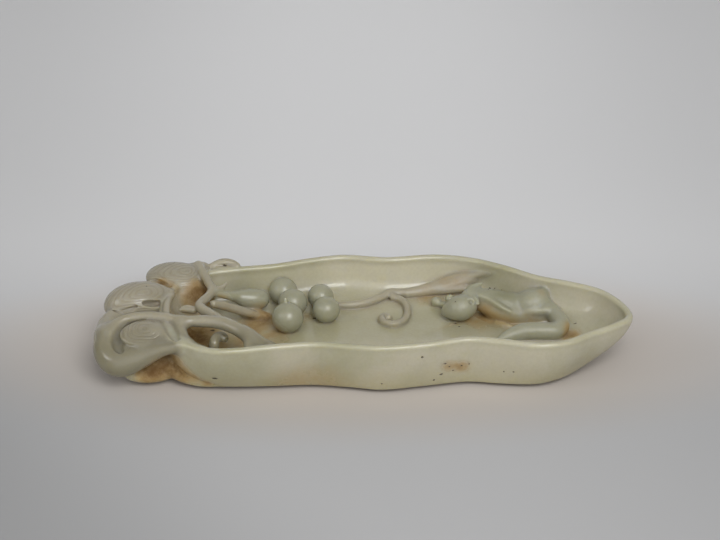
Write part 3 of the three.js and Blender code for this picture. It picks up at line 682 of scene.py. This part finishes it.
def skin(block):
    """Surface nets: in each cell that the surface crosses one point, the mean of the crossings on its
    edges, and round each crossed edge one quad. Returns points in cells and quads."""
    field = block.field
    cells = np.array(field.shape)
    crossings, rings, flips = [], [], []
    for axis in range(3):
        unit = np.eye(3, dtype=int)[axis]
        first = np.take(field, np.arange(cells[axis] - 1), axis=axis)
        second = np.take(field, np.arange(1, cells[axis]), axis=axis)
        at = np.argwhere((first < 0) != (second < 0))
        a, b = field[tuple(at.T)], field[tuple((at + unit).T)]
        crossings.append(at + (a / (a - b))[:, None] * unit)
        u, v = np.eye(3, dtype=int)[[(axis + 1) % 3, (axis + 2) % 3]]
        corners = [np.ravel_multi_index((at - back).T, cells) for back in (u + v, v, 0 * u, u)]
        rings.append(np.stack(corners, 1))
        flips.append(a > 0)
    crossings, rings, flips = np.vstack(crossings), np.vstack(rings), np.concatenate(flips)
    ids, quads = np.unique(rings, return_inverse=True)
    quads = quads.reshape(rings.shape)
    count = np.bincount(quads.ravel(), minlength=len(ids))
    points = np.empty((len(ids), 3))
    for axis in range(3):
        weight = np.repeat(crossings[:, axis], 4)
        points[:, axis] = np.bincount(quads.ravel(), weight, len(ids)) / count
    quads[flips] = quads[flips, ::-1]
    return points, quads


def slope_at(field, at):
    """The field's rise along each axis, from readings half a cell to each side."""
    steps = np.eye(3) * 0.5
    return np.column_stack([reading(field, at + step) - reading(field, at - step) for step in steps])


def relax(field, points, quads, rounds):
    """Evens the points out: each goes half way to the mean of its neighbours, then back to the surface
    down the field's slope."""
    ends = np.vstack([quads[:, [0, 1]], quads[:, [1, 2]], quads[:, [2, 3]], quads[:, [3, 0]]])
    ends = np.vstack([ends, ends[:, ::-1]])
    count = np.bincount(ends[:, 0], minlength=len(points))
    for _ in range(rounds):
        sums = [np.bincount(ends[:, 0], points[ends[:, 1], axis], len(points)) for axis in range(3)]
        points = (points + np.column_stack(sums) / count[:, None]) / 2
        slope = slope_at(field, points)
        steep = np.maximum((slope**2).sum(1), 1e-4)
        step = (reading(field, points) / steep)[:, None] * slope
        points = points - np.clip(step, -1, 1)
    return points


def spread(block, places, spots):
    """How much each place is under the spots: one less the product of what each leaves, a bell each."""
    clean = np.ones(len(places))
    for along, across, level, reach, strength in spots:
        (middle,) = block.place((along, across, level))
        far = ((places - middle) ** 2).sum(1) / reach**2
        clean *= 1 - strength * np.exp(-SPOT_FALL * far)
    return 1 - clean


def grown(block, places):
    """Rings counted outwards from the nearest head's place: a rounded length of the steps along and up,
    the first drawn in by how much longer the rings are on that side."""
    middles = [block.place(ring["place"])[0] for ring in RINGS]
    nearest = np.argmin([((places - middle) ** 2).sum(1) for middle in middles], axis=0)
    counts = np.zeros(len(places))
    for index, (ring, middle) in enumerate(zip(RINGS, middles)):
        step = places - middle
        along = step[:, 0]
        up = step @ np.array(RING_UP) + ring["droop"] * np.minimum(along, 0) ** 2
        along = np.abs(along) / np.where(along < 0, ring["left"], ring["right"])
        out = (along ** ring["corner"] + np.abs(up) ** ring["corner"]) ** (1 / ring["corner"])
        counts = np.where(nearest == index, out / ring["spacing"], counts)
    return counts


def to_frame(places, low, high):
    """Places in mm to the frame's metres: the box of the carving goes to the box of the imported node."""
    shares = (places - low) / (high - low)
    return NODE_BOX[0] + shares * (NODE_BOX[1] - NODE_BOX[0])


def new_mesh(name, points, faces):
    """A mesh of points and faces with as many corners each, put in as whole arrays."""
    mesh = bpy.data.meshes.new(name)
    mesh.vertices.add(len(points))
    mesh.vertices.foreach_set("co", np.asarray(points, np.float32).ravel())
    mesh.loops.add(faces.size)
    mesh.loops.foreach_set("vertex_index", faces.ravel().astype(np.int32))
    mesh.polygons.add(len(faces))
    mesh.polygons.foreach_set("loop_start", np.arange(0, faces.size, faces.shape[1], dtype=np.int32))
    mesh.update(calc_edges=True)
    mesh.shade_smooth()
    return mesh


def new_object(name, data):
    """An object for a mesh, a light or a camera, in the scene."""
    made = bpy.data.objects.new(name, data)
    bpy.context.scene.collection.objects.link(made)
    return made


def thin_out(piece, triangles):
    """Joins the smallest faces of a piece until so many triangles are left."""
    full = sum(len(p.vertices) - 2 for p in piece.data.polygons)
    thinner = piece.modifiers.new("thin out", "DECIMATE")
    thinner.ratio = min(1, triangles / full)
    thinner.use_collapse_triangulate = True
    ready = piece.evaluated_get(bpy.context.evaluated_depsgraph_get())
    mesh = bpy.data.meshes.new_from_object(ready)
    piece.modifiers.clear()
    piece.data = mesh
    mesh.shade_smooth()


def mark(mesh, name, values):
    """A number for each point of a mesh, which its material reads."""
    attribute = mesh.attributes.new(name, "FLOAT", "POINT")
    attribute.data.foreach_set("value", np.asarray(values, np.float32))


class Shader:
    """The nodes of a material or a world, made and joined one call at a time."""

    def __init__(self, owner):
        self.owner = owner
        owner.use_nodes = True
        self.tree = owner.node_tree
        self.tree.nodes.clear()

    def node(self, kind, inputs, **settings):
        """The outputs of a new node. Each input, by name or number, gets a value or a link."""
        made = self.tree.nodes.new("ShaderNode" + kind)
        for key, value in settings.items():
            setattr(made, key, value)
        for key, value in inputs.items():
            if isinstance(value, bpy.types.NodeSocket):
                self.tree.links.new(value, made.inputs[key])
            else:
                made.inputs[key].default_value = value
        return made.outputs

    def read(self, name):
        """A number marked on the mesh."""
        return self.node("Attribute", {}, attribute_name=name)["Fac"]

    def noise(self, place, scale, detail=3, rough=0.55):
        """Soft noise between nought and one."""
        inputs = {"Vector": place, "Scale": scale, "Detail": detail, "Roughness": rough}
        return self.node("TexNoise", inputs)[0]

    def math(self, operation, *values):
        """One sum of up to three numbers."""
        return self.node("Math", dict(enumerate(values)), operation=operation)[0]

    def times(self, first, *others):
        """The product of the values."""
        for other in others:
            first = self.math("MULTIPLY", first, other)
        return first

    def vector(self, operation, *values):
        """One sum of up to two vectors."""
        return self.node("VectorMath", dict(enumerate(values)), operation=operation)[0]

    def measure(self, operation, *values):
        """A length or a product of vectors, as a number."""
        return self.node("VectorMath", dict(enumerate(values)), operation=operation)["Value"]

    def ramp(self, value, low, high, to_low=0.0, to_high=1.0):
        """A value taken from one range to another, smoothly and held at the ends."""
        ends = dict(enumerate((value, low, high, to_low, to_high)))
        return self.node("MapRange", ends, interpolation_type="SMOOTHSTEP")[0]

    def mix(self, share, a, b, **settings):
        """Two colours mixed by a share."""
        return self.node("Mix", {0: share, 6: a, 7: b}, data_type="RGBA", **settings)[2]

    def show(self, shader, kind="Material"):
        """Sends a shader out as the surface."""
        self.node("Output" + kind, {"Surface": shader})
        return self.owner


# Where the stone changes, and where painted light and painted shade lie on it, each from one end of the
# range to the other, in metres.
WARM_UP = (0.014, 0.001)
GLOW_ACROSS = (0.004, 0.024)
GLOW_UP = (0.007, 0.012)
GLOW_ALONG = (0.06, 0.02)
GLOW_TOP = (0.02, 0.017)
LIP_SHADE_UP = (0.0175, 0.0205)
FAR_HEADS = (-0.016, 0.02)
VINE_ALONG = (-0.03, 0.0)

# How fine each noise is, in waves per metre.
CLOUD_WAVES = 26
RING_WAVES = 140
HIDE_WAVES = 330
SKIN_WAVES = 420
GRAIN_WAVES = 900
PIT_WAVES = 1800

# What each thing adds to the height, as a multiple of the relief.
GROOVE_HEIGHT = -0.55
PIT_HEIGHT = -2.0
HIDE_HEIGHT = 1.1
SKIN_HEIGHT = 0.5

# Colour of the painted light glowing through the inner back wall.
GLOW_COLOUR = (0.8, 0.78, 0.62, 1)
PIT_COLOUR = (0.03, 0.018, 0.01, 1)
PIT_RAGGED = 0.0006  # metres
RELIEF = 0.00018  # metres for a height of one
LIGHT_REACH = (1.0, 0.9, 0.55)  # how far red, green and blue light goes in the stone, as shares
LIGHT_DEPTH = 0.005  # metres


def stone(make, finish, place):
    """The clean stone: cloudy, warmer near the foot, paler in the inner back wall as painted light glowing
    through the thin wall, darker and greener on the top of the lip as painted shade, greyer on the fungus
    heads and stems, greener on the fruit and the dragon, with mossy clouds and olive painted shade on the
    dragon's flank and the floor round it."""
    names = ("pale", "green", "warm", "fungus", "far_fungus", "fruit", "moss_and_shade")
    colours = [(*getattr(finish, name), 1.0) for name in names]
    pale, green, warm, fungus, far_fungus, fruit, moss_and_shade = colours
    along, across, up = make.node("SeparateXYZ", {"Vector": place})
    body = make.mix(make.ramp(make.noise(place, CLOUD_WAVES, 4), 0.36, 0.64), green, pale)
    body = make.mix(make.ramp(up, *WARM_UP, 0, 0.5), body, warm)
    # Painted light: the inner back wall made paler, as if lit through the thin wall from behind.
    clear = make.times(make.ramp(across, *GLOW_ACROSS), make.ramp(up, *GLOW_UP))
    clear = make.times(clear, make.ramp(along, *GLOW_ALONG), make.ramp(up, *GLOW_TOP), 0.22)
    body = make.mix(clear, body, GLOW_COLOUR)
    # Painted shade: the top of the lip darkened and greened towards the fruit colour, where it faces the
    # lights.
    rim = make.times(make.ramp(up, *LIP_SHADE_UP), make.math("SUBTRACT", 1.0, make.read("grey")), 0.3)
    body = make.mix(rim, body, fruit)
    back = make.math("MULTIPLY_ADD", up, 1.2, across)
    fungus = make.mix(make.ramp(back, *FAR_HEADS), fungus, far_fungus)
    body = make.mix(make.times(make.read("grey"), 0.8), body, fungus)
    body = make.mix(make.times(make.read("cool"), 0.85), body, fruit)
    # Mossy clouds, and olive painted shade on the dragon's flank and the floor round it.
    return make.mix(make.times(make.read("moss_and_shade_share"), 0.8), body, moss_and_shade)


def ring_grooves(make, place):
    """Growth rings: a groove where the sine of the rings' count, shaken a little, is low."""
    count = make.math("ADD", make.read("growth"), make.times(make.noise(place, RING_WAVES, 2), 0.9))
    wave = make.math("SINE", make.times(count, 2 * math.pi))
    return make.times(make.ramp(wave, -0.1, -0.95), make.ramp(make.read("ringed"), 0.45, 0.9))


def drilled(make, place, pits):
    """Ragged dark pits, painted shade in the notches: each a spot drawn out along the washer, at a shaken
    place.
    """
    colours = make.node("TexNoise", {"Vector": place, "Scale": PIT_WAVES, "Detail": 1})[1]
    shaken = make.vector("ADD", place, make.vector("MULTIPLY", colours, (PIT_RAGGED,) * 3))
    pitted = 0.0
    for middle, reach, longer in pits:
        middle = tuple(part + PIT_RAGGED / 2 for part in middle)
        away = make.vector("MULTIPLY", make.vector("SUBTRACT", shaken, middle), (1 / longer, 1, 1))
        pitted = make.math("MAXIMUM", pitted, make.ramp(make.measure("LENGTH", away), reach, 0.4 * reach))
    return pitted


def jade(finish, pits):
    """Pale green jade under a soft polish, with grown rings, brown skin and painted shade in the hollows,
    painted shadow on the floor, and dark pits.
    """
    make = Shader(bpy.data.materials.new("jade"))
    place = make.node("TexCoord", {})["Object"]
    tan, brown = ((*getattr(finish, name), 1.0) for name in ("tan", "brown"))
    groove = ring_grooves(make, place)
    body = make.mix(make.times(groove, 0.1), stone(make, finish, place), brown)
    # Tan in creases, by how much stone is near: partly brown skin, partly painted shade where creases are
    # shaded.
    body = make.mix(make.times(make.ramp(make.read("hollow"), 0.56, 0.8), 0.22), body, tan)
    # Brown skin and painted shadow: tan where thin, brown where thick.
    skin_and_shade = make.read("skin_and_shade")
    rough_skin = make.math("MULTIPLY_ADD", make.noise(place, SKIN_WAVES, 4, 0.7), 0.9, -0.45)
    skin_and_shade_left = make.math("MULTIPLY_ADD", rough_skin, skin_and_shade, skin_and_shade)
    # More brown skin and painted shade in deep hollows.
    skin_and_shade_left = make.math("MULTIPLY_ADD", make.ramp(make.read("deep"), 0.62, 0.85), 0.15, skin_and_shade_left)
    body = make.mix(make.ramp(skin_and_shade_left, 0.1, 0.6, 0, 0.75), body, tan)
    body = make.mix(make.ramp(skin_and_shade_left, 0.45, 1.1, 0, 0.9), body, brown)
    # Dark pits: painted shade in the notches of the dragon's spine and its ear, dark spots at the other
    # pits.
    pitted = drilled(make, place, pits)
    body = make.mix(make.times(pitted, 0.92), body, PIT_COLOUR)
    body = make.mix(make.ramp(make.noise(place, GRAIN_WAVES, 2), 0.3, 0.75, 0.0, 0.06), body, brown)
    height = make.math("MULTIPLY_ADD", groove, GROOVE_HEIGHT, make.times(pitted, PIT_HEIGHT))
    hide = make.times(make.noise(place, HIDE_WAVES, 3), make.read("beast"))
    height = make.math("MULTIPLY_ADD", hide, HIDE_HEIGHT, height)
    height = make.math("MULTIPLY_ADD", skin_and_shade_left, make.times(rough_skin, SKIN_HEIGHT), height)
    rough = make.ramp(skin_and_shade_left, 0.1, 0.9, finish.gloss, 0.65)
    rough = make.math("MULTIPLY_ADD", make.read("beast"), 0.15, rough)
    rough = make.math("MULTIPLY_ADD", make.read("cool"), 0.07, rough)
    along = make.node("SeparateXYZ", {"Vector": place})[0]
    vine = make.times(make.read("grey"), make.ramp(along, *VINE_ALONG))
    look = {
        "Base Color": body,
        "Normal": make.node("Bump", {"Height": height, "Strength": 1.0, "Distance": RELIEF})[0],
        "Roughness": make.math("MULTIPLY_ADD", vine, 0.2, rough),
        "Specular IOR Level": make.ramp(skin_and_shade_left, 0.3, 0.9, 0.5, 0.12),
        "IOR": 1.55,
        "Subsurface Weight": 1.0,
        "Subsurface Radius": LIGHT_REACH,
        "Subsurface Scale": LIGHT_DEPTH,
    }
    return make.show(make.node("BsdfPrincipled", look)[0])


class WASHER_OT_carve(bpy.types.Operator):
    """Carve the washer: dish, fungus heads, stems, grapes, vine and dragon as one stone"""

    bl_idname = "washer.carve"
    bl_label = "Carve the washer"

    def execute(self, context):
        made = context.scene.washer_sizes
        sizes = {key: getattr(made, key) / MM for key in WasherSizes.__annotations__}
        block = carve_stone(sizes)
        points, quads = skin(block)
        points = relax(block.field, points, quads, RELAX_ROUNDS)
        places = block.low + points * block.pitch
        piece = new_object("jade_washer", new_mesh("jade_washer", places * MM, quads))
        thin_out(piece, TRIANGLES)
        count = len(piece.data.vertices)
        kept = np.empty(count * 3, np.float32)
        piece.data.vertices.foreach_get("co", kept)
        kept = kept.reshape(-1, 3) / MM
        cells = (kept - block.low) / block.pitch
        stone = (block.field < 0).astype(np.float32)
        near = box_blur(box_blur(stone, NEAR_CELLS), NEAR_CELLS)
        wide = box_blur(box_blur(stone, WIDE_CELLS), WIDE_CELLS)
        for tone, weight in block.tones.items():
            mark(piece.data, tone, reading(weight, cells))
        # How much stone is near each point: the material darkens creases and deep hollows with it, as brown
        # skin and painted shade.
        mark(piece.data, "hollow", reading(near, cells))
        mark(piece.data, "deep", reading(wide, cells))
        bare = reading(block.tones["grey"], cells) * (1 - reading(block.tones["ringed"], cells))
        # Brown skin and painted shadow, fewer on the stems.
        mark(piece.data, "skin_and_shade", spread(block, kept, SKIN_AND_SHADE_SPOTS) * (1 - BARE_CLEAN * bare))
        # Mossy clouds and olive painted shade.
        mark(piece.data, "moss_and_shade_share", spread(block, kept, MOSS_AND_SHADE_SPOTS))
        mark(piece.data, "growth", grown(block, kept))
        low, high = kept.min(0), kept.max(0)
        placed = to_frame(kept, low, high)
        piece.data.vertices.foreach_set("co", placed.astype(np.float32).ravel())
        piece.data.update()
        piece.data.materials.clear()
        middles = to_frame(block.place([pit[:3] for pit in PITS]), low, high)
        pits = [(middle, pit[3] * MM, pit[4]) for middle, pit in zip(middles, PITS)]
        piece.data.materials.append(jade(context.scene.washer_finish, pits))
        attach(piece, "root")
        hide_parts(NODE)
        return {"FINISHED"}


CAMERA_PLACE = (-0.00137, -0.55865, 0.33417)
CAMERA_DOWN = 28.25  # degrees under the level
FOCAL_LENGTH = 85  # mm, on a sensor 36 mm wide
FRONT_LIGHT_UP = 32  # degrees over the level
MAIN_LIGHT = dict(azimuth=20.5, elevation=47, size=0.45)
SIDE_LIGHT = dict(azimuth=-70, elevation=33, size=0.22)
LIGHT_DISTANCE = 0.9  # metres
STAGE_HALF = 1.2  # metres to each side, to the front and up
SWEEP_BACK = 0.45  # metres from the washer to where the ground starts to rise
SWEEP_RADIUS = 0.5  # metres
SWEEP_STEPS = 60  # points along the ground's path
WARM_RING = (10, 26, 0)  # the warm light round the washer ends where the place times this is about one long
WARM_LIGHT = (1, 0.92, 0.84, 1)


def sweep(steps, half, back, radius):
    """The ground: level from the front to where it starts to rise, then an arc of the radius, then upright.
    One parameter runs across it and the other along that path."""
    u = np.array([-half, half])
    flat, arc, rise = half + back, radius * math.pi / 2, half
    run = np.linspace(0, 1, steps) * (flat + arc + rise)
    angle = np.clip((run - flat) / radius, 0, math.pi / 2)
    y = np.minimum(run, flat) - half + radius * np.sin(angle)
    z = radius * (1 - np.cos(angle)) + np.maximum(run - flat - arc, 0)
    x = np.repeat(u[:, None], steps, 1)
    points = np.stack([x, np.broadcast_to(y, x.shape), np.broadcast_to(z, x.shape)], -1).reshape(-1, 3)
    first = np.arange(steps - 1)
    return points, np.column_stack([first, first + steps, first + steps + 1, first + 1])


def ground_paint(look):
    """Matt paint with painted light: darker to the front as a painted shadow of the washer, darker to both
    sides and in the near left corner and lighter behind as painted fall of the light, and warm in a ring
    round the washer as painted shade coloured by the stone: ramps along and across, multiplied."""
    make = Shader(bpy.data.materials.new("ground"))
    place = make.node("TexCoord", {})["Object"]
    along, across, _ = make.node("SeparateXYZ", {"Vector": place})
    corner = make.times(make.math("ADD", along, across), -1.0)
    # Painted shadow and painted light on the ground: a shadow in front of the washer, brighter behind,
    # darker to the sides and the near left corner.
    lit = make.times(
        make.ramp(across, -0.06, 0.1, 0.58, 0.92),
        make.ramp(across, 0.1, 0.36, 1.0, 1.07),
        make.ramp(make.math("ABSOLUTE", along), 0.02, 0.22, 1.0, 0.81),
        make.ramp(corner, 0.1, 0.24, 1.0, 0.8),
    )
    paint = make.mix(lit, (0, 0, 0, 1), (*look.ground, 1))
    # Painted warm shade in a ring round the washer, as of light coloured by the stone.
    far = make.measure("LENGTH", make.vector("MULTIPLY", place, WARM_RING))
    paint = make.mix(make.ramp(far, 0.95, 1.9, 1.0, 0.0), paint, WARM_LIGHT, blend_type="MULTIPLY")
    return make.show(make.node("BsdfPrincipled", {"Base Color": paint, "Roughness": 0.9})[0])


def bearing(azimuth, elevation):
    """The way to a light, by degrees round from the front and up from the level."""
    a, e = math.radians(azimuth), math.radians(elevation)
    return (math.sin(a) * math.cos(e), -math.cos(a) * math.cos(e), math.sin(e))


def soft_light(name, power, azimuth, elevation, size):
    """A square light that looks at the middle of the washer."""
    lamp = bpy.data.lights.new(name, "AREA")
    lamp.size = size
    lamp.energy = power
    made = new_object(name, lamp)
    towards = Vector(bearing(azimuth, elevation))
    made.location = towards * LIGHT_DISTANCE
    made.rotation_euler = towards.to_track_quat("Z", "Y").to_euler()


def studio(look):
    """The light all round with one broad soft light in front: the square of the cosine to its middle."""
    make = Shader(bpy.data.worlds.new("studio"))
    towards = make.node("TexCoord", {})["Generated"]
    near = make.math("MAXIMUM", make.measure("DOT_PRODUCT", towards, bearing(0, FRONT_LIGHT_UP)), 0.0)
    strength = make.math("MULTIPLY_ADD", make.math("POWER", near, 2.0), look.front, look.sky)
    return make.show(make.node("Background", {"Strength": strength})[0], "World")


class WASHER_OT_stage(bpy.types.Operator):
    """Set the pale ground, the soft lights and the camera"""

    bl_idname = "washer.stage"
    bl_label = "Set the stage"

    def execute(self, context):
        look = context.scene.washer_studio
        points, faces = sweep(SWEEP_STEPS, STAGE_HALF, SWEEP_BACK, SWEEP_RADIUS)
        ground = new_object("ground", new_mesh("ground", points, faces))
        ground.data.materials.append(ground_paint(look))
        soft_light("main light", look.main, **MAIN_LIGHT)
        soft_light("side light", look.side, **SIDE_LIGHT)
        context.scene.world = studio(look)
        camera = new_object("camera", bpy.data.cameras.new("camera"))
        camera.data.lens = FOCAL_LENGTH
        camera.location = CAMERA_PLACE
        camera.rotation_euler = (math.radians(90 - CAMERA_DOWN), 0, 0)
        context.scene.camera = camera
        context.scene.view_settings.view_transform = "Standard"
        return {"FINISHED"}


class WASHER_PT_panel(bpy.types.Panel):
    """The washer's sizes, colours and steps"""

    bl_label = "Jade brush washer"
    bl_space_type = "VIEW_3D"
    bl_region_type = "UI"
    bl_category = "Washer"

    def draw(self, context):
        for group in (context.scene.washer_sizes, context.scene.washer_finish, context.scene.washer_studio):
            for key in group.__annotations__:
                self.layout.prop(group, key)
        for step in STEPS:
            self.layout.operator(step.bl_idname)


STEPS = (WASHER_OT_carve, WASHER_OT_stage)
CLASSES = (WasherSizes, JadeFinish, StudioLook, *STEPS, WASHER_PT_panel)


def register():
    for one in CLASSES:
        bpy.utils.register_class(one)
    bpy.types.Scene.washer_sizes = PointerProperty(type=WasherSizes)
    bpy.types.Scene.washer_finish = PointerProperty(type=JadeFinish)
    bpy.types.Scene.washer_studio = PointerProperty(type=StudioLook)


def unregister():
    del bpy.types.Scene.washer_studio
    del bpy.types.Scene.washer_finish
    del bpy.types.Scene.washer_sizes
    for one in reversed(CLASSES):
        bpy.utils.unregister_class(one)


def main():
    register()
    bpy.ops.washer.carve()
    bpy.ops.washer.stage()
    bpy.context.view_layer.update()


if __name__ == "__main__":
    main()
